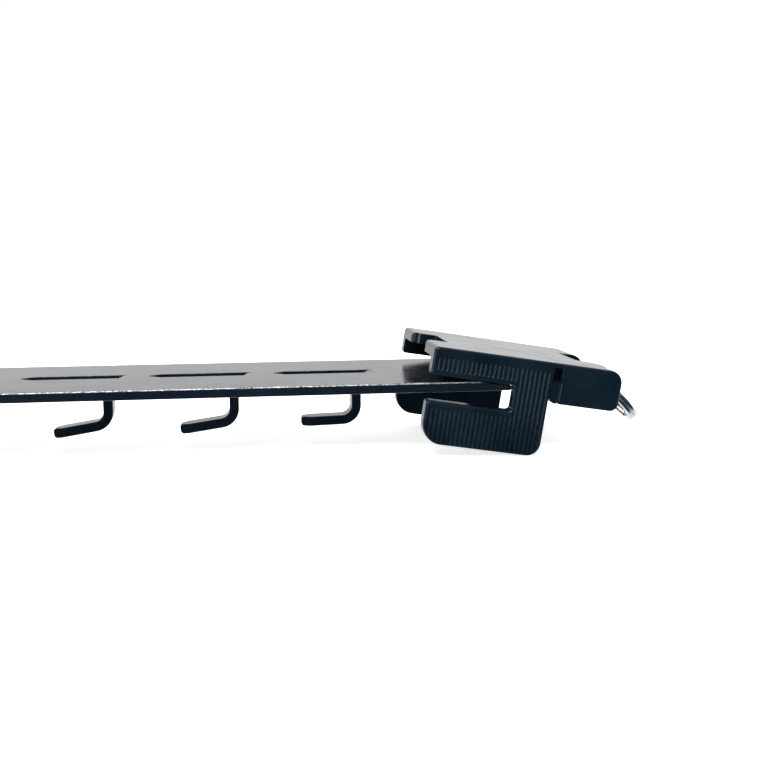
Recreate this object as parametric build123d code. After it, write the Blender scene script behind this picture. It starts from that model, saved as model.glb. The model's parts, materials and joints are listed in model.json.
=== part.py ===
from build123d import *
import math
import os

# Hook rail: a flat steel strip with hooks lanced from it, a grooved clip pushed on each end
# and a split ring in the eye of each clip.
# X runs along the strip, Y across it, Z is up. The rail stands on the heels of its two clips.
# All sizes are in millimetres.

# Two places count as the same when they are closer than this
TOUCH = 0.01

# Strip
STRIP_LENGTH = 378.0
STRIP_WIDTH = 38.2
STRIP_THICK = 2.1
STRIP_CORNER = 1.0
STRIP_EDGE = 0.4

# Hooks: tongues lanced from the middle of the strip, bent down and then towards -X
HOOK_PITCH = 27.2
HOOK_WIDTH = 4.5
HOOK_EDGE = 0.3
HOOK_DROOP = (8.0, 7.0, 9.0, 8.0, 6.0, 8.0, 9.0, 7.0, 8.0, 9.0, 8.0, 1.5)
LAST_HOOK_FROM_END = 30.4
ROOT_RADIUS = 3.0
LEG_DEPTH = 7.4
BEND_RADIUS = 2.2
ARM_LENGTH = 9.2
ARM_TIP_RADIUS = 0.7
TIP_TAPER = 2.6
TIP_WIDTH = 1.8
SLOT_LENGTH = 19.4
SLOT_TIP_WIDTH = 0.6

# End clip, in its own axes: X along its slots, Y across, Z up from the bottom of its sides
CLIP_WIDTH = 40.0
CLIP_HEIGHT = 20.7
SIDE_LENGTH = 26.2
SIDE_THICK = 3.1
SIDE_HEEL_RADIUS = 3.0
SIDE_TOE_RADIUS = 4.5
TOP_THICK = 2.4
NECK_THICK = 4.2
CLIP_LENGTH = 41.8
TOP_FRONT_RADIUS = 1.0
TOP_EDGE = 0.6
OUTER_EDGE = 0.4
INNER_FILLET = 1.2
SLOT_LOW = 9.2
SLOT_HIGH = 14.65
SLOT_DEPTH = 18.5
SLOT_RADIUS = 0.8
JAW_RADIUS = 0.6
NOTCH_HALF = 6.6
MOUTH_NOTCH = 5.4
EYE_NOTCH = 6.5
NOTCH_CORNER = 0.4
FINGER_CORNER = 3.0
BLOCK_START = 28.2
BLOCK_LOW = 11.9
BLOCK_TOP_RADIUS = 2.8
BLOCK_LOW_RADIUS = 1.8
BRIDGE_RECESS = 0.8
BRIDGE_RADIUS = 1.6
POCKET_DEPTH = 2.4
POCKET_LIP = 1.0

# Grooves of the grip on both sides of the clip
GROOVE_PITCH = 1.0
GROOVE_RADIUS = 0.45
GROOVE_DEPTH = 0.28
GROOVE_MARGIN = 1.0
GROOVE_TOP_MARGIN = 1.8
GROOVE_CROWN = 0.1

# Eye web and its cross hole, which the split ring hangs in
WEB_THICK = 3.0
WEB_START = 30.0
EYE_X = 43.2
EYE_Z = 16.8
EYE_HOLE_RADIUS = 1.7
EYE_OUTER_RADIUS = 3.1

# Clip on the strip: nose-down tilt, and where the clip's corner lies from the strip's end
CLIP_TILT = 9.0
CLIP_BACK = 20.1
CLIP_DROP = 12.6
JAW_CLEARANCE = 0.3

# Split ring: two flat coils side by side
RING_OUTER_RADIUS = 7.0
RING_RADIAL = 1.4
COIL_AXIAL = 1.04
COIL_OVERLAP = 0.08
COIL_EDGE = 0.28
RING_ANGLE = 38.0
SPLIT_GAP = 0.3
SPLIT_ANGLE = 14.0

HALF_LENGTH = STRIP_LENGTH / 2
HALF_CLIP = CLIP_WIDTH / 2

# Height of the strip's top face when the clips' heels stand at Z = 0
HEEL_CENTRE_X = SIDE_LENGTH - SIDE_HEEL_RADIUS
TILT = math.radians(CLIP_TILT)
HEEL_LOW = SIDE_HEEL_RADIUS * math.cos(TILT) - HEEL_CENTRE_X * math.sin(TILT) - SIDE_HEEL_RADIUS
STRIP_TOP = CLIP_DROP - HEEL_LOW

CLIP_PLACE = Pos(HALF_LENGTH - CLIP_BACK, 0, STRIP_TOP - CLIP_DROP) * Rot(0, CLIP_TILT, 0)


def slab(profile, y_low, y_high):
    """Solid of a side-view profile between two Y planes."""
    return Pos(0, y_high, 0) * extrude(Plane.XZ * profile, amount=y_high - y_low)


def rectangle(x_low, z_low, x_high, z_high):
    """Side-view rectangle from its two corners."""
    centre = Pos((x_low + x_high) / 2, (z_low + z_high) / 2)
    return centre * Rectangle(x_high - x_low, z_high - z_low)


def rounded(profile, corner, radius):
    """The profile with the corner nearest to a point rounded."""
    target = Vector(corner[0], corner[1], 0)
    vertex = min(profile.vertices(), key=lambda v: (Vector(v.X, v.Y, v.Z) - target).length)
    return fillet(vertex, radius)


def on_circle(centre, radius, degrees):
    """Point on a circle, with the angle measured down from +X."""
    angle = math.radians(degrees)
    return (centre[0] + radius * math.cos(angle), centre[1] - radius * math.sin(angle))


def hook(droop):
    """One hook: the leg's outer face is at X = 0 and the strip's top face at Z = 0."""
    root = (ROOT_RADIUS, -STRIP_THICK - ROOT_RADIUS)
    bend = (-STRIP_THICK - BEND_RADIUS, -LEG_DEPTH)
    outer = BEND_RADIUS + STRIP_THICK
    turn = 90 - droop
    arm = Vector(-math.cos(math.radians(droop)), -math.sin(math.radians(droop))) * ARM_LENGTH
    inner_end = on_circle(bend, BEND_RADIUS, turn)
    outer_end = on_circle(bend, outer, turn)
    inner_tip = (inner_end[0] + arm.X, inner_end[1] + arm.Y)
    outer_tip = (outer_end[0] + arm.X, outer_end[1] + arm.Y)
    leg_top = root[1]
    outline = [
        ThreePointArc(
            (ROOT_RADIUS, 0),
            on_circle(root, ROOT_RADIUS + STRIP_THICK, -135),
            (-STRIP_THICK, leg_top),
        ),
        Line((-STRIP_THICK, leg_top), (-STRIP_THICK, -LEG_DEPTH)),
        ThreePointArc(
            (-STRIP_THICK, -LEG_DEPTH), on_circle(bend, BEND_RADIUS, turn / 2), inner_end
        ),
        Line(inner_end, inner_tip),
        Line(inner_tip, outer_tip),
        Line(outer_tip, outer_end),
        ThreePointArc(outer_end, on_circle(bend, outer, turn / 2), (0, -LEG_DEPTH)),
        Line((0, -LEG_DEPTH), (0, leg_top)),
        ThreePointArc(
            (0, leg_top), on_circle(root, ROOT_RADIUS, -135), (ROOT_RADIUS, -STRIP_THICK)
        ),
        Line((ROOT_RADIUS, -STRIP_THICK), (ROOT_RADIUS, 0)),
    ]
    profile = make_face(outline)
    profile = rounded(profile, inner_tip, ARM_TIP_RADIUS)
    profile = rounded(profile, outer_tip, ARM_TIP_RADIUS)
    body = slab(profile, -HOOK_WIDTH / 2, HOOK_WIDTH / 2)
    tip_x = min(inner_tip[0], outer_tip[0])
    for side in (-1, 1):
        corner = Polyline(
            (tip_x - 1, side * TIP_WIDTH / 2),
            (tip_x, side * TIP_WIDTH / 2),
            (tip_x + TIP_TAPER, side * (HOOK_WIDTH / 2 + TOUCH)),
            (tip_x - 1, side * HOOK_WIDTH),
            close=True,
        )
        body -= Pos(0, 0, -2 * LEG_DEPTH) * extrude(make_face(corner), amount=2 * LEG_DEPTH)
    long_edges = [
        e
        for e in body.edges()
        if abs(abs(e.center().Y) - HOOK_WIDTH / 2) < TOUCH and e.center().X < ROOT_RADIUS - TOUCH
    ]
    return fillet(long_edges, HOOK_EDGE)


def lancing_slot():
    """Cutter of the opening that one hook leaves in the strip."""
    half = HOOK_WIDTH / 2
    tip = SLOT_TIP_WIDTH / 2
    shoulder = -SLOT_LENGTH + TIP_TAPER
    plan = Polyline(
        (ROOT_RADIUS, half),
        (shoulder, half),
        (-SLOT_LENGTH, tip),
        (-SLOT_LENGTH, -tip),
        (shoulder, -half),
        (ROOT_RADIUS, -half),
        close=True,
    )
    return Pos(0, 0, -2 * STRIP_THICK) * extrude(make_face(plan), amount=4 * STRIP_THICK)


def strip_blank():
    """Strip with rounded corners and edges, tapered where it enters the clips."""
    blank = Box(STRIP_LENGTH, STRIP_WIDTH, STRIP_THICK)
    blank = fillet(blank.edges().filter_by(Axis.Z), STRIP_CORNER)
    long_edges = [e for e in blank.edges() if e.length > STRIP_LENGTH / 2]
    blank = Pos(0, 0, STRIP_TOP - STRIP_THICK / 2) * fillet(long_edges, STRIP_EDGE)
    taper = CLIP_PLACE * slab(
        rectangle(0, SLOT_HIGH - JAW_CLEARANCE, 2 * SLOT_DEPTH, 2 * CLIP_HEIGHT),
        -STRIP_WIDTH,
        STRIP_WIDTH,
    )
    return blank - taper - mirror(taper, about=Plane.YZ)


def hook_rail():
    """Strip with its row of lanced hooks."""
    rail = strip_blank()
    last = HALF_LENGTH - LAST_HOOK_FROM_END
    count = len(HOOK_DROOP)
    for index, droop in enumerate(HOOK_DROOP):
        place = Pos(last - (count - 1 - index) * HOOK_PITCH, 0, STRIP_TOP)
        rail = rail - place * lancing_slot() + place * hook(droop)
    return rail


def side_plate():
    """One grooved side with its slot, open towards -X."""
    plate = rectangle(0, 0, SIDE_LENGTH, CLIP_HEIGHT)
    plate = rounded(plate, (0, 0), SIDE_TOE_RADIUS)
    plate = rounded(plate, (SIDE_LENGTH, 0), SIDE_HEEL_RADIUS)
    slot = rectangle(-SLOT_DEPTH, SLOT_LOW, SLOT_DEPTH, SLOT_HIGH)
    slot = rounded(slot, (SLOT_DEPTH, SLOT_LOW), SLOT_RADIUS)
    slot = rounded(slot, (SLOT_DEPTH, SLOT_HIGH), SLOT_RADIUS)
    plate -= slot
    plate = rounded(plate, (0, SLOT_LOW), JAW_RADIUS)
    plate = rounded(plate, (0, SLOT_HIGH), JAW_RADIUS)
    plate = rounded(plate, (0, CLIP_HEIGHT), TOP_FRONT_RADIUS)
    return slab(plate, HALF_CLIP - SIDE_THICK, HALF_CLIP)


def mouth_cutter():
    """Cutter of the mouth notch, flared where it rounds the corners of the two fingers."""
    flare = NOTCH_HALF + FINGER_CORNER
    middle = FINGER_CORNER * (1 - math.sqrt(0.5))
    outline = [
        Line((-FINGER_CORNER, -flare), (0, -flare)),
        ThreePointArc((0, -flare), (middle, -NOTCH_HALF - middle), (FINGER_CORNER, -NOTCH_HALF)),
        Line((FINGER_CORNER, -NOTCH_HALF), (MOUTH_NOTCH, -NOTCH_HALF)),
        Line((MOUTH_NOTCH, -NOTCH_HALF), (MOUTH_NOTCH, NOTCH_HALF)),
        Line((MOUTH_NOTCH, NOTCH_HALF), (FINGER_CORNER, NOTCH_HALF)),
        ThreePointArc((FINGER_CORNER, NOTCH_HALF), (middle, NOTCH_HALF + middle), (0, flare)),
        Line((0, flare), (-FINGER_CORNER, flare)),
        Line((-FINGER_CORNER, flare), (-FINGER_CORNER, -flare)),
    ]
    cutter = extrude(make_face(outline), amount=2 * CLIP_HEIGHT)
    return fillet(cutter.edges().filter_by(Axis.Z).group_by(Axis.X)[-1], NOTCH_CORNER)


def top_plate():
    """Plate that joins the sides, notched at the mouth and the eye, thicker towards its end."""
    plate = rectangle(0, CLIP_HEIGHT - TOP_THICK, CLIP_LENGTH, CLIP_HEIGHT)
    thick_start = SIDE_LENGTH - SIDE_THICK
    plate += rectangle(thick_start, CLIP_HEIGHT - NECK_THICK, CLIP_LENGTH, CLIP_HEIGHT)
    plate = rounded(plate, (0, CLIP_HEIGHT), TOP_FRONT_RADIUS)
    plate = rounded(plate, (CLIP_LENGTH, CLIP_HEIGHT), BLOCK_TOP_RADIUS)
    plate = slab(plate, -HALF_CLIP, HALF_CLIP)
    eye = Box(2 * EYE_NOTCH, 2 * NOTCH_HALF, 2 * CLIP_HEIGHT)
    eye = fillet(eye.edges().filter_by(Axis.Z).group_by(Axis.X)[0], NOTCH_CORNER)
    return plate - mouth_cutter() - Pos(CLIP_LENGTH, 0, CLIP_HEIGHT) * eye


def end_block():
    """Solid block beside the eye, under the end of the top plate."""
    block = rectangle(BLOCK_START, BLOCK_LOW, CLIP_LENGTH, CLIP_HEIGHT)
    block = rounded(block, (CLIP_LENGTH, CLIP_HEIGHT), BLOCK_TOP_RADIUS)
    block = rounded(block, (CLIP_LENGTH, BLOCK_LOW), BLOCK_LOW_RADIUS)
    block = rounded(block, (BLOCK_START, BLOCK_LOW), JAW_RADIUS)
    return slab(block, NOTCH_HALF, HALF_CLIP)


def bridge():
    """Web that joins a side to its end block below the pocket, rounded at its lower corner."""
    web = rectangle(SIDE_LENGTH, BLOCK_LOW, BLOCK_START, CLIP_HEIGHT - NECK_THICK)
    web = rounded(web, (SIDE_LENGTH, BLOCK_LOW), BRIDGE_RADIUS)
    return slab(web, HALF_CLIP - SIDE_THICK, HALF_CLIP - BRIDGE_RECESS)


def inner_fillet():
    """Rounded corner between the top plate and a side, inside the channel."""
    corner_y = HALF_CLIP - SIDE_THICK
    corner_z = CLIP_HEIGHT - TOP_THICK
    wedge = Pos(SIDE_LENGTH / 2, corner_y - INNER_FILLET / 2, corner_z - INNER_FILLET / 2) * Box(
        SIDE_LENGTH, INNER_FILLET, INNER_FILLET
    )
    round_cut = Pos(SIDE_LENGTH / 2, corner_y - INNER_FILLET, corner_z - INNER_FILLET) * Rot(
        0, 90, 0
    ) * Cylinder(INNER_FILLET, 2 * SIDE_LENGTH)
    return wedge - round_cut


def eye_web():
    """Upright web in the middle of the eye notch, with the cross hole for the ring."""
    web = rectangle(WEB_START, EYE_Z - EYE_OUTER_RADIUS, EYE_X, EYE_Z + EYE_OUTER_RADIUS)
    web += Pos(EYE_X, EYE_Z) * Circle(EYE_OUTER_RADIUS)
    web -= Pos(EYE_X, EYE_Z) * Circle(EYE_HOLE_RADIUS)
    return slab(web, -WEB_THICK / 2, WEB_THICK / 2)


def groove(z_low, z_high):
    """Round-ended groove cutter along Z, between the two heights."""
    length = z_high - z_low
    inside = GROOVE_RADIUS
    outline = [
        Line((0, 0), (0, length)),
        ThreePointArc(
            (0, length),
            (inside * math.sin(math.pi / 4), length - inside * (1 - math.cos(math.pi / 4))),
            (inside, length - inside),
        ),
        Line((inside, length - inside), (inside, inside)),
        ThreePointArc(
            (inside, inside),
            (inside * math.sin(math.pi / 4), inside * (1 - math.cos(math.pi / 4))),
            (0, 0),
        ),
    ]
    return Pos(0, 0, z_low) * revolve(Plane.XZ * make_face(outline), Axis.Z)


def side_grooves():
    """All groove cutters of the side at +Y; the rows of groove ends are slightly crowned."""
    across = HALF_CLIP + GROOVE_RADIUS - GROOVE_DEPTH
    below = -GROOVE_MARGIN
    middle = SIDE_LENGTH / 2
    count = int((SIDE_LENGTH - GROOVE_PITCH / 2) / GROOVE_PITCH)
    start = (SIDE_LENGTH - (count - 1) * GROOVE_PITCH) / 2
    cutters = []
    for index in range(count):
        x = start + index * GROOVE_PITCH
        drop = GROOVE_CROWN * ((x - middle) / middle) ** 2
        high = CLIP_HEIGHT - GROOVE_TOP_MARGIN - drop
        if x < SLOT_DEPTH + GROOVE_RADIUS:
            upper_low = SLOT_HIGH + GROOVE_MARGIN + drop
            lower_high = SLOT_LOW - GROOVE_MARGIN - drop
            cutters.append(Pos(x, across, 0) * groove(upper_low, high))
            cutters.append(Pos(x, across, 0) * groove(below, lower_high))
        else:
            cutters.append(Pos(x, across, 0) * groove(below, high))
    return cutters


def outer_edges(body):
    """Edges around the slots and the free ends of the clip's two outer faces."""
    return [
        e
        for e in body.edges()
        if all(abs(abs(v.Y) - HALF_CLIP) < TOUCH for v in e.vertices())
        and abs(e.center().Z - CLIP_HEIGHT) > TOP_EDGE + TOUCH
    ]


def end_clip():
    """Right-hand end clip in its own axes."""
    half = side_plate() + end_block() + bridge() + inner_fillet()
    pocket_height = NECK_THICK - POCKET_LIP
    pocket = Pos(
        (SIDE_LENGTH + BLOCK_START) / 2,
        HALF_CLIP,
        CLIP_HEIGHT - NECK_THICK + pocket_height / 2,
    ) * Box(BLOCK_START - SIDE_LENGTH, 2 * POCKET_DEPTH, pocket_height)
    body = top_plate() + half + mirror(half, about=Plane.XZ) + eye_web()
    top_edges = [
        e
        for e in body.edges().filter_by(Axis.X)
        if abs(e.center().Z - CLIP_HEIGHT) < TOUCH and abs(e.center().Y) > HALF_CLIP - TOUCH
    ]
    body = fillet(top_edges, TOP_EDGE)
    body = fillet(outer_edges(body), OUTER_EDGE)
    cutters = side_grooves() + [pocket]
    return body - cutters - [mirror(c, about=Plane.XZ) for c in cutters]


def split_ring():
    """Split ring about the origin, its axis along Z."""
    centre_radius = RING_OUTER_RADIUS - RING_RADIAL / 2
    offset = (COIL_AXIAL - COIL_OVERLAP) / 2
    section = RectangleRounded(RING_RADIAL, COIL_AXIAL, COIL_EDGE)
    ring = None
    for side in (-1, 1):
        coil = revolve(Plane.XZ * (Pos(centre_radius, side * offset) * section), Axis.Z)
        split = (
            Rot(0, 0, side * SPLIT_ANGLE)
            * Pos(centre_radius, 0, side * COIL_AXIAL)
            * Box(2 * RING_RADIAL, SPLIT_GAP, 2 * COIL_AXIAL - COIL_OVERLAP)
        )
        coil -= split
        ring = coil if ring is None else ring + coil
    return ring


def hung_ring():
    """Split ring through the right-hand eye, at its rest angle."""
    reach = RING_OUTER_RADIUS - RING_RADIAL / 2
    angle = math.radians(RING_ANGLE)
    centre = Pos(EYE_X + reach * math.cos(angle), 0, EYE_Z - reach * math.sin(angle))
    return CLIP_PLACE * centre * Rot(0, RING_ANGLE, 0) * split_ring()


clip_right = CLIP_PLACE * end_clip()
ring_right = hung_ring()

nodes = {
    "hook_rail": hook_rail(),
    "end_clip_right": clip_right,
    "end_clip_left": mirror(clip_right, about=Plane.YZ),
    "split_ring_right": ring_right,
    "split_ring_left": mirror(ring_right, about=Plane.YZ),
}

os.makedirs("parts", exist_ok=True)
for name, solid in nodes.items():
    export_step(solid, os.path.join("parts", name + ".step"))
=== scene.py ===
"""Looks of the hook rail: enamelled strip, grooved clips, chromed split rings."""
import json
import math

import bmesh
import bpy
from mathutils import Matrix, Vector


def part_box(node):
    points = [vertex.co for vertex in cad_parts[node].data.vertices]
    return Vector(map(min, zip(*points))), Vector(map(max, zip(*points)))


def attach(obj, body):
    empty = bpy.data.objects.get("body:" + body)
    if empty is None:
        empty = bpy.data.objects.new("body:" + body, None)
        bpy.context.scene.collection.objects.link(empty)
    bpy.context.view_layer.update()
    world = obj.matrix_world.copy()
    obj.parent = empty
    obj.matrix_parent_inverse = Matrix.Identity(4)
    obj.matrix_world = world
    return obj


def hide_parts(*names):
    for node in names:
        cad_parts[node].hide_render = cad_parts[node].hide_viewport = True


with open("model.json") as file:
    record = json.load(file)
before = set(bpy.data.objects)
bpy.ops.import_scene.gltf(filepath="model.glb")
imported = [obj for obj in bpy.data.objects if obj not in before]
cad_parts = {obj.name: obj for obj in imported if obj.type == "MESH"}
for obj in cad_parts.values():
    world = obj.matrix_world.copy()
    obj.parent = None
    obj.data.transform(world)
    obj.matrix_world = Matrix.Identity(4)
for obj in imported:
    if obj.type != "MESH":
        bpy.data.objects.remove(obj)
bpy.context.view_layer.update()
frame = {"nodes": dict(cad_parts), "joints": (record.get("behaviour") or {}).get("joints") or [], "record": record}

MM = 0.001

# Camera: in front of the right-hand end and a little to its left, looking slightly down
CAMERA_PLACE = Vector((131.54, -229.23, 50.15)) * MM
CAMERA_YAW = 8.09
CAMERA_PITCH = 9.07
CAMERA_ROLL = 0.15
CAMERA_LENS = 48.36
SENSOR_WIDTH = 36.0

# Floor
FLOOR_SIZE = 6.0
FLOOR_DROP = 0.05 * MM
FLOOR_GLOW = 0.74

# Studio: its colour low down in front, its brightness, and its lights as
# (name, place, target, size, power, colour), in metres and watts
DARK_FRONT = (0.026, 0.046, 0.062, 1)
STUDIO_STRENGTH = 1.03
LIGHTS = (
    ("top", (0.1, 0.25, 0.9), (0.15, 0, 0), (0.9, 0.9), 5, (1.0, 0.99, 0.97)),
    ("front", (-0.05, -0.75, 0.75), (0.15, 0, 0), (0.75, 0.22), 9, (0.97, 0.99, 1.0)),
    ("left", (-0.35, -0.42, 0.16), (0.18, 0, 0), (0.16, 0.34), 1.4, (0.90, 0.97, 1.0)),
)

# Split ring
RING_OUTER = 7.0 * MM
RING_RADIAL = 1.4 * MM
COIL_AXIAL = 0.96 * MM
COIL_EDGE = 0.3 * MM
TURN_STEPS = 160
EDGE_STEPS = 4
CROSSOVER = 26.0
SPLIT_ANGLE = 14.0
END_GAP = 1.5
END_TAPER = (0.80, 0.95, 1.0)

# Rounding of sharp edges, and the angle past which shading stays sharp
STRIP_EDGE_ROUND = 0.25 * MM
CLIP_EDGE_ROUND = 0.2 * MM
CAD_SHARP_ANGLE = 28
RING_SHARP_ANGLE = 50

STRIP_COLOUR = (0.0025, 0.0050, 0.0095, 1)
CLIP_COLOUR = (0.0016, 0.0055, 0.0105, 1)
STRIP_COLOUR_PALE = (0.0045, 0.0085, 0.0145, 1)
CLIP_COLOUR_PALE = (0.0032, 0.0095, 0.0160, 1)
ENAMEL_IOR = 1.34
STRIP_DUST = (0.045, 0.048, 0.052, 1)
CLIP_DUST = (0.035, 0.045, 0.048, 1)
STRIP_RUBBED = (0.30, 0.31, 0.32, 1)
CLIP_RUBBED = (0.22, 0.24, 0.25, 1)
CHROME_COLOUR = (0.74, 0.74, 0.76, 1)
CHROME_WORN = (0.52, 0.51, 0.50, 1)
# Painted shade: colour laid into the hollows between the ring's coils
RING_PAINTED_SHADE = (0.10, 0.09, 0.08, 1)
WHITE = (1.0, 1.0, 1.0, 1)

# Strip's top long edges, where the enamel is rubbed through to bare steel
STRIP_HALF_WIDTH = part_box("hook_rail")[1][1]
STRIP_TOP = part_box("hook_rail")[1][2]
RUBBED_WIDTH = 0.34 * MM
RUBBED_DEPTH = 0.32 * MM
RUBBED_FADE = 0.14 * MM
BARE_STEEL = (0.80, 0.81, 0.82, 1)


# Node helpers ---------------------------------------------------------------------------------

def new_material(name):
    """Empty node material, with its tree and its Principled shader."""
    material = bpy.data.materials.new(name)
    material.use_nodes = True
    tree = material.node_tree
    tree.nodes.clear()
    shader = tree.nodes.new("ShaderNodeBsdfPrincipled")
    output = tree.nodes.new("ShaderNodeOutputMaterial")
    tree.links.new(shader.outputs["BSDF"], output.inputs["Surface"])
    return material, tree, shader


def place(tree, scale=(1, 1, 1)):
    """Object coordinates, stretched by a scale along each axis."""
    coordinates = tree.nodes.new("ShaderNodeTexCoord")
    mapping = tree.nodes.new("ShaderNodeMapping")
    mapping.inputs["Scale"].default_value = scale
    tree.links.new(coordinates.outputs["Object"], mapping.inputs["Vector"])
    return mapping.outputs["Vector"]


def noise(tree, vector, scale, detail=3.0, roughness=0.55):
    """Noise between 0 and 1."""
    node = tree.nodes.new("ShaderNodeTexNoise")
    node.inputs["Scale"].default_value = scale
    node.inputs["Detail"].default_value = detail
    node.inputs["Roughness"].default_value = roughness
    tree.links.new(vector, node.inputs["Vector"])
    return node.outputs["Fac"]


def ramp(tree, value, low, high, out_low, out_high):
    """Maps a value's range low..high to out_low..out_high, clamped."""
    node = tree.nodes.new("ShaderNodeMapRange")
    node.inputs["From Min"].default_value = low
    node.inputs["From Max"].default_value = high
    node.inputs["To Min"].default_value = out_low
    node.inputs["To Max"].default_value = out_high
    tree.links.new(value, node.inputs["Value"])
    return node.outputs["Result"]


def mix_colour(tree, factor, first, second):
    """Blend of two colours; each is four numbers or another node's output."""
    node = tree.nodes.new("ShaderNodeMix")
    node.data_type = "RGBA"
    tree.links.new(factor, node.inputs["Factor"])
    for socket, value in ((node.inputs[6], first), (node.inputs[7], second)):
        if isinstance(value, tuple):
            socket.default_value = value
        else:
            tree.links.new(value, socket)
    return node.outputs[2]


def calculate(tree, operation, first, second):
    """One arithmetic operation on two values; each is a number or another node's output."""
    node = tree.nodes.new("ShaderNodeMath")
    node.operation = operation
    for socket, value in zip(node.inputs, (first, second)):
        if isinstance(value, (int, float)):
            socket.default_value = value
        else:
            tree.links.new(value, socket)
    return node.outputs["Value"]


def bump(tree, height, distance, strength=1.0, after=None):
    """Normal tilted by a height; a normal given as `after` is the one that it tilts."""
    node = tree.nodes.new("ShaderNodeBump")
    node.inputs["Distance"].default_value = distance
    node.inputs["Strength"].default_value = strength
    tree.links.new(height, node.inputs["Height"])
    if after is not None:
        tree.links.new(after, node.inputs["Normal"])
    return node.outputs["Normal"]


def soft_edges(tree, radius):
    """Normal rounded over the sharp edges that enamel flows around."""
    node = tree.nodes.new("ShaderNodeBevel")
    node.samples = 6
    node.inputs["Radius"].default_value = radius
    return node.outputs["Normal"]


def edge_wear(tree, rounded, wide):
    """Share of rubbed enamel: 0 on faces, up to 1 in broken patches along the edges."""
    geometry = tree.nodes.new("ShaderNodeNewGeometry")
    dot = tree.nodes.new("ShaderNodeVectorMath")
    dot.operation = "DOT_PRODUCT"
    tree.links.new(geometry.outputs["Normal"], dot.inputs[0])
    tree.links.new(rounded, dot.inputs[1])
    edge = ramp(tree, dot.outputs["Value"], 0.985, 0.85, 0, 1)
    patch = noise(tree, place(tree), wide, 5.0, 0.7)
    return calculate(tree, "MULTIPLY", edge, ramp(tree, patch, 0.48, 0.62, 0, 1))


def rubbed_line(tree):
    """Share of bare steel along the strip's top long edges, broken into dashes and specks."""
    coordinates = tree.nodes.new("ShaderNodeTexCoord")
    parts = tree.nodes.new("ShaderNodeSeparateXYZ")
    tree.links.new(coordinates.outputs["Object"], parts.inputs["Vector"])
    across = calculate(tree, "ABSOLUTE", parts.outputs["Y"], 0)
    side_low = STRIP_HALF_WIDTH - RUBBED_WIDTH
    top_low = STRIP_TOP - RUBBED_DEPTH
    near_side = ramp(tree, across, side_low, side_low + RUBBED_FADE, 0, 1)
    near_top = ramp(tree, parts.outputs["Z"], top_low, top_low + RUBBED_FADE, 0, 1)
    dashes = ramp(tree, noise(tree, place(tree, (0.5, 1, 1)), 3600, 5.0, 0.75), 0.40, 0.62, 0, 0.75)
    edge = calculate(tree, "MULTIPLY", near_side, near_top)
    return calculate(tree, "MULTIPLY", edge, dashes)


# Materials ------------------------------------------------------------------------------------

def strip_enamel():
    """Stoved black enamel on rolled steel: faint rolling lines, soft waves, specks, rubbed edges."""
    material, tree, shader = new_material("strip_enamel_detail")
    rounded = soft_edges(tree, STRIP_EDGE_ROUND)
    rolled = noise(tree, place(tree, (0.04, 1, 1)), 1600, 4.0, 0.6)
    waves = noise(tree, place(tree, (0.5, 1, 1)), 90, 2.0)
    peel = noise(tree, place(tree), 900, 2.0)
    cloud = noise(tree, place(tree), 70, 5.0, 0.6)
    specks = noise(tree, place(tree), 2600, 1.0)
    wear = edge_wear(tree, rounded, 700)
    dusty = ramp(tree, specks, 0.72, 0.80, 0, 0.35)
    base = mix_colour(tree, ramp(tree, cloud, 0.35, 0.7, 0, 1), STRIP_COLOUR, STRIP_COLOUR_PALE)
    base = mix_colour(tree, dusty, base, STRIP_DUST)
    base = mix_colour(tree, calculate(tree, "MULTIPLY", wear, 0.6), base, STRIP_RUBBED)
    bare = rubbed_line(tree)
    base = mix_colour(tree, bare, base, BARE_STEEL)
    tree.links.new(base, shader.inputs["Base Color"])
    soft = ramp(tree, cloud, 0.3, 0.7, 0.11, 0.18)
    streaked = calculate(tree, "ADD", soft, ramp(tree, rolled, 0.4, 0.7, 0, 0.05))
    tree.links.new(streaked, shader.inputs["Roughness"])
    metal = calculate(tree, "MAXIMUM", calculate(tree, "MULTIPLY", wear, 0.5), bare)
    tree.links.new(metal, shader.inputs["Metallic"])
    shader.inputs["IOR"].default_value = ENAMEL_IOR
    normal = bump(tree, rolled, 0.006 * MM, 1.0, rounded)
    normal = bump(tree, waves, 0.12 * MM, 0.35, normal)
    normal = bump(tree, peel, 0.010 * MM, 0.5, normal)
    tree.links.new(normal, shader.inputs["Normal"])
    return material


def clip_enamel():
    """Glossy dark enamel of the clips: orange peel, faint clouding, specks and rubbed edges."""
    material, tree, shader = new_material("clip_enamel_detail")
    rounded = soft_edges(tree, CLIP_EDGE_ROUND)
    peel = noise(tree, place(tree), 700, 3.0)
    fine = noise(tree, place(tree), 2600, 2.0)
    cloud = noise(tree, place(tree), 110, 5.0)
    wear = edge_wear(tree, rounded, 800)
    dusty = ramp(tree, fine, 0.70, 0.80, 0, 0.3)
    base = mix_colour(tree, ramp(tree, cloud, 0.35, 0.7, 0, 1), CLIP_COLOUR, CLIP_COLOUR_PALE)
    base = mix_colour(tree, dusty, base, CLIP_DUST)
    base = mix_colour(tree, calculate(tree, "MULTIPLY", wear, 0.08), base, CLIP_RUBBED)
    tree.links.new(base, shader.inputs["Base Color"])
    tree.links.new(ramp(tree, cloud, 0.3, 0.7, 0.13, 0.20), shader.inputs["Roughness"])
    shader.inputs["IOR"].default_value = ENAMEL_IOR
    normal = bump(tree, peel, 0.008 * MM, 0.5, rounded)
    normal = bump(tree, fine, 0.003 * MM, 0.6, normal)
    tree.links.new(normal, shader.inputs["Normal"])
    return material


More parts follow.
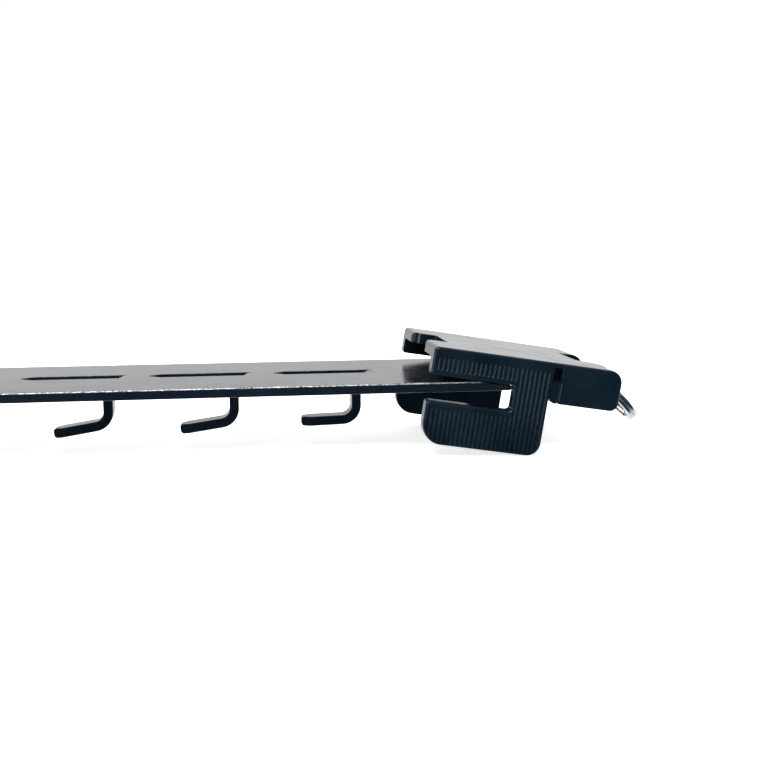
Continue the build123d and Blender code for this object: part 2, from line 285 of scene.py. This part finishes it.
def ring_chrome():
    """Plated spring wire: drawing lines, painted shade in the hollows between the coils, and fine scratches."""
    material, tree, shader = new_material("ring_chrome_detail")
    lines = noise(tree, place(tree), 2400, 4.0, 0.7)
    cloud = noise(tree, place(tree), 420, 3.0)
    geometry = tree.nodes.new("ShaderNodeNewGeometry")
    # Painted shade: the colour darkens where the wire's surface is hollow, between the coils
    painted_shade_in_hollows = ramp(tree, geometry.outputs["Pointiness"], 0.48, 0.38, 0, 1)
    base = mix_colour(tree, ramp(tree, cloud, 0.4, 0.7, 0, 0.6), CHROME_COLOUR, CHROME_WORN)
    base = mix_colour(tree, painted_shade_in_hollows, base, RING_PAINTED_SHADE)
    tree.links.new(base, shader.inputs["Base Color"])
    tree.links.new(ramp(tree, cloud, 0.3, 0.7, 0.09, 0.22), shader.inputs["Roughness"])
    shader.inputs["Metallic"].default_value = 1.0
    tree.links.new(bump(tree, lines, 0.004 * MM, 0.6), shader.inputs["Normal"])
    return material


def floor_paper():
    """Plain pale paper that glows, so that the floor stays white."""
    material, tree, shader = new_material("floor_paper")
    grain = noise(tree, place(tree), 900, 3.0)
    base = mix_colour(tree, grain, (0.90, 0.90, 0.90, 1), (0.93, 0.93, 0.93, 1))
    tree.links.new(base, shader.inputs["Base Color"])
    shader.inputs["Roughness"].default_value = 0.9
    shader.inputs["Specular IOR Level"].default_value = 0.1
    shader.inputs["Emission Color"].default_value = WHITE
    shader.inputs["Emission Strength"].default_value = FLOOR_GLOW
    return material


# Pieces ---------------------------------------------------------------------------------------

def give(obj, material):
    """The object wears this material and no other."""
    obj.data.materials.clear()
    obj.data.materials.append(material)


def smooth(obj, degrees):
    """Smooth shading, kept sharp past an angle."""
    for polygon in obj.data.polygons:
        polygon.use_smooth = True
    modifier = obj.modifiers.new("corners", "EDGE_SPLIT")
    modifier.split_angle = math.radians(degrees)


def coil_section():
    """Rounded outline of one coil, as (radial, axial) offsets from its centre."""
    points = []
    half_r = RING_RADIAL / 2 - COIL_EDGE
    half_a = COIL_AXIAL / 2 - COIL_EDGE
    for quarter in range(4):
        sign_r = 1 if quarter in (0, 3) else -1
        sign_a = 1 if quarter in (0, 1) else -1
        for step in range(EDGE_STEPS + 1):
            angle = math.radians(90 * quarter + 90 * step / EDGE_STEPS)
            points.append((sign_r * half_r + COIL_EDGE * math.cos(angle),
                           sign_a * half_a + COIL_EDGE * math.sin(angle)))
    return points


def coil_height(turn):
    """Axial place of the wire's centre along its two turns, in degrees from the first end."""
    half = CROSSOVER / 2
    along = min(max((turn - 360 + half) / CROSSOVER, 0), 1)
    lift = along * along * (3 - 2 * along)
    return (lift - 0.5) * COIL_AXIAL


def split_ring(name, side):
    """Wire wound twice, crossing from one coil to the other, with rounded ends."""
    eye = Vector(next(j["pos_m"] for j in frame["joints"] if j["name"] == f"ring_{side}_swing"))
    mount = next(m for m in frame["record"]["mounts"] if m["name"] == f"ring_{side}")
    centre = Vector(mount["pos_m"])
    axis = Vector(mount["axis"]).normalized()
    outward = (centre - eye).normalized()
    across = axis.cross(outward)
    section = coil_section()
    mesh = bmesh.new()
    rows = []
    reach = RING_OUTER - RING_RADIAL / 2
    for step in range(2 * TURN_STEPS + 1):
        turn = step * 360 / TURN_STEPS
        turn = min(max(turn, END_GAP), 720 - END_GAP)
        angle = math.radians(turn + SPLIT_ANGLE)
        spoke = outward * math.cos(angle) + across * math.sin(angle)
        middle = centre + spoke * reach + axis * coil_height(turn)
        from_end = min(step, 2 * TURN_STEPS - step)
        taper = END_TAPER[min(from_end, len(END_TAPER) - 1)]
        rows.append([mesh.verts.new(middle + (spoke * r + axis * a) * taper) for r, a in section])
    count = len(section)
    for first, second in zip(rows, rows[1:]):
        for i in range(count):
            j = (i + 1) % count
            mesh.faces.new((first[i], first[j], second[j], second[i]))
    mesh.faces.new(list(reversed(rows[0])))
    mesh.faces.new(rows[-1])
    bmesh.ops.recalc_face_normals(mesh, faces=mesh.faces)
    data = bpy.data.meshes.new(name)
    mesh.to_mesh(data)
    mesh.free()
    ring = bpy.data.objects.new(name, data)
    bpy.context.scene.collection.objects.link(ring)
    return ring


strip_material = strip_enamel()
clip_material = clip_enamel()
chrome_material = ring_chrome()

give(frame["nodes"]["hook_rail"], strip_material)
smooth(frame["nodes"]["hook_rail"], CAD_SHARP_ANGLE)
for side in ("right", "left"):
    clip = frame["nodes"][f"end_clip_{side}"]
    give(clip, clip_material)
    smooth(clip, CAD_SHARP_ANGLE)
    ring = split_ring(f"wound_ring_{side}", side)
    give(ring, chrome_material)
    smooth(ring, RING_SHARP_ANGLE)
    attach(ring, f"ring_{side}")
    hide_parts(f"split_ring_{side}")


# Stage ----------------------------------------------------------------------------------------

def add_floor():
    """Square floor just under the rail; it isn't seen in reflections."""
    half = FLOOR_SIZE / 2
    data = bpy.data.meshes.new("floor")
    plan = ((-half, -half), (half, -half), (half, half), (-half, half))
    corners = [(x, y, -FLOOR_DROP) for x, y in plan]
    data.from_pydata(corners, [], [(0, 1, 2, 3)])
    floor = bpy.data.objects.new("floor", data)
    bpy.context.scene.collection.objects.link(floor)
    give(floor, floor_paper())
    floor.visible_glossy = False


def add_light(name, place_m, target, size, power, colour):
    """Rectangular area light that faces its target."""
    data = bpy.data.lights.new(name, "AREA")
    data.shape = "RECTANGLE"
    data.size, data.size_y = size
    data.energy = power
    data.color = colour
    light = bpy.data.objects.new(name, data)
    light.location = place_m
    light.rotation_euler = (Vector(target) - Vector(place_m)).to_track_quat("-Z", "Y").to_euler()
    bpy.context.scene.collection.objects.link(light)


def add_world():
    """White studio behind, softer white above, and dark and bluish low down in front."""
    world = bpy.data.worlds.new("studio")
    bpy.context.scene.world = world
    world.use_nodes = True
    tree = world.node_tree
    background = tree.nodes["Background"]
    coordinates = tree.nodes.new("ShaderNodeTexCoord")
    parts = tree.nodes.new("ShaderNodeSeparateXYZ")
    tree.links.new(coordinates.outputs["Generated"], parts.inputs["Vector"])
    front = ramp(tree, parts.outputs["Y"], -0.30, 0.05, 0, 1)
    high = ramp(tree, parts.outputs["Z"], 0.05, 0.60, 0, 0.35)
    white = calculate(tree, "MAXIMUM", front, high)
    colour = mix_colour(tree, white, DARK_FRONT, WHITE)
    tree.links.new(colour, background.inputs["Color"])
    background.inputs["Strength"].default_value = STUDIO_STRENGTH


def add_camera():
    """Level camera turned by its yaw, then its pitch, then its roll."""
    yaw, pitch, roll = (math.radians(a) for a in (CAMERA_YAW, CAMERA_PITCH, CAMERA_ROLL))
    turn = Matrix.Rotation(-yaw, 3, "Z") @ Matrix.Rotation(-pitch, 3, "X")
    turn = turn @ Matrix.Rotation(roll, 3, "Y")
    right, forward, up = (turn.col[i] for i in range(3))
    matrix = Matrix((right, up, -forward)).transposed().to_4x4()
    matrix.translation = CAMERA_PLACE
    data = bpy.data.cameras.new("camera")
    data.lens = CAMERA_LENS
    data.sensor_width = SENSOR_WIDTH
    data.clip_start = 0.005
    camera = bpy.data.objects.new("camera", data)
    camera.matrix_world = matrix
    bpy.context.scene.collection.objects.link(camera)
    bpy.context.scene.camera = camera


add_floor()
add_world()
for light in LIGHTS:
    add_light(*light)
add_camera()
bpy.context.scene.view_settings.view_transform = "Standard"
